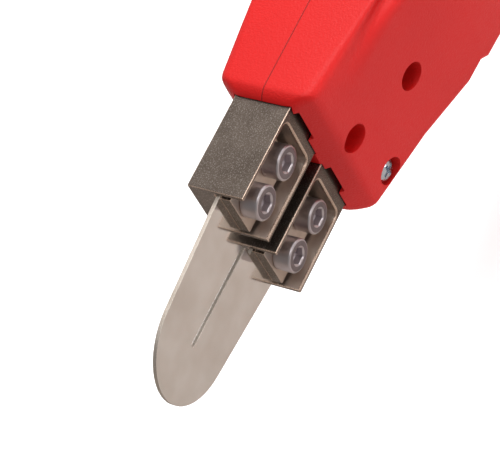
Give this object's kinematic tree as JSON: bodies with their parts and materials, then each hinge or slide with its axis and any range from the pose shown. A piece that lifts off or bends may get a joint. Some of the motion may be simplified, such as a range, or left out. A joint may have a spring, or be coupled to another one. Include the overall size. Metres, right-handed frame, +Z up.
{
  "type": "electric hot knife",
  "caption": "Pistol-grip electric hot knife: a trigger-switched transformer in a split plastic housing heats a slit flat blade held in stacked clamp terminals",
  "frame": {"origin": "on the housing's parting plane, at the front face of the nose, midway between the two terminals", "axes": "+X runs back from the blade toward the rear of the body, +Z is up, +Y is to the user's right"},
  "size_m": [0.2315, 0.048, 0.1619],
  "materials": {
    "red_housing": "fine stippled moulding",
    "zinc": "bright zinc plate",
    "nickel": "dull nickel plate on brass",
    "screw_steel": "plated steel",
    "blade_steel": "rolled and polished",
    "insulator": "moulded",
    "copper": "drawn copper",
    "core_iron": "varnished laminations",
    "enamel_wire": "enamelled copper wire",
    "black_plastic": "moulded",
    "spring_steel": "drawn wire",
    "brown_lead": "insulated lead",
    "black_lead": "insulated lead",
    "blue_lead": "insulated lead",
    "brass_screw": "turned",
    "rubber_bush": "moulded"
  },
  "bodies": {
    "body": {"housing_left": "red_housing", "housing_right": "red_housing", "housing_screws": "zinc", "upper_terminal": "nickel", "lower_terminal": "nickel", "upper_clamp_plate": "nickel", "lower_clamp_plate": "nickel", "upper_clamp_screws": "screw_steel", "lower_clamp_screws": "screw_steel", "blade": "blade_steel", "terminal_spacer": "insulator", "secondary_bar": "copper", "core_e_stack": "core_iron", "core_i_stack": "core_iron", "coil_bobbin": "insulator", "primary_winding": "enamel_wire", "core_strap": "zinc", "trigger_spring": "spring_steel", "switch_body": "black_plastic", "switch_screws": "zinc", "lead_live": "brown_lead", "lead_switched": "black_lead", "lead_neutral": "blue_lead", "terminal_block": "insulator", "terminal_block_screws": "brass_screw", "cord_inlet_bush": "rubber_bush", "cord_clamp": "insulator", "cord_clamp_screws": "zinc"},
    "trigger": {"trigger": "black_plastic"},
    "plunger": {"switch_plunger": "insulator"}
  },
  "joints": [
    {"name": "trigger_slide", "type": "slide", "parent": "body", "child": "trigger", "axis": [1, 0, 0], "range_m": [0, 0.005], "stiffness_N_per_m": 400, "springref_m": -0.004, "deforming": ["trigger_spring"]},
    {"name": "plunger_slide", "type": "slide", "parent": "body", "child": "plunger", "axis": [1, 0, 0], "range_m": [0, 0.005]}
  ],
  "couplings": [
    {"joint": "plunger_slide", "follows": "trigger_slide", "ratio": 1}
  ]
}
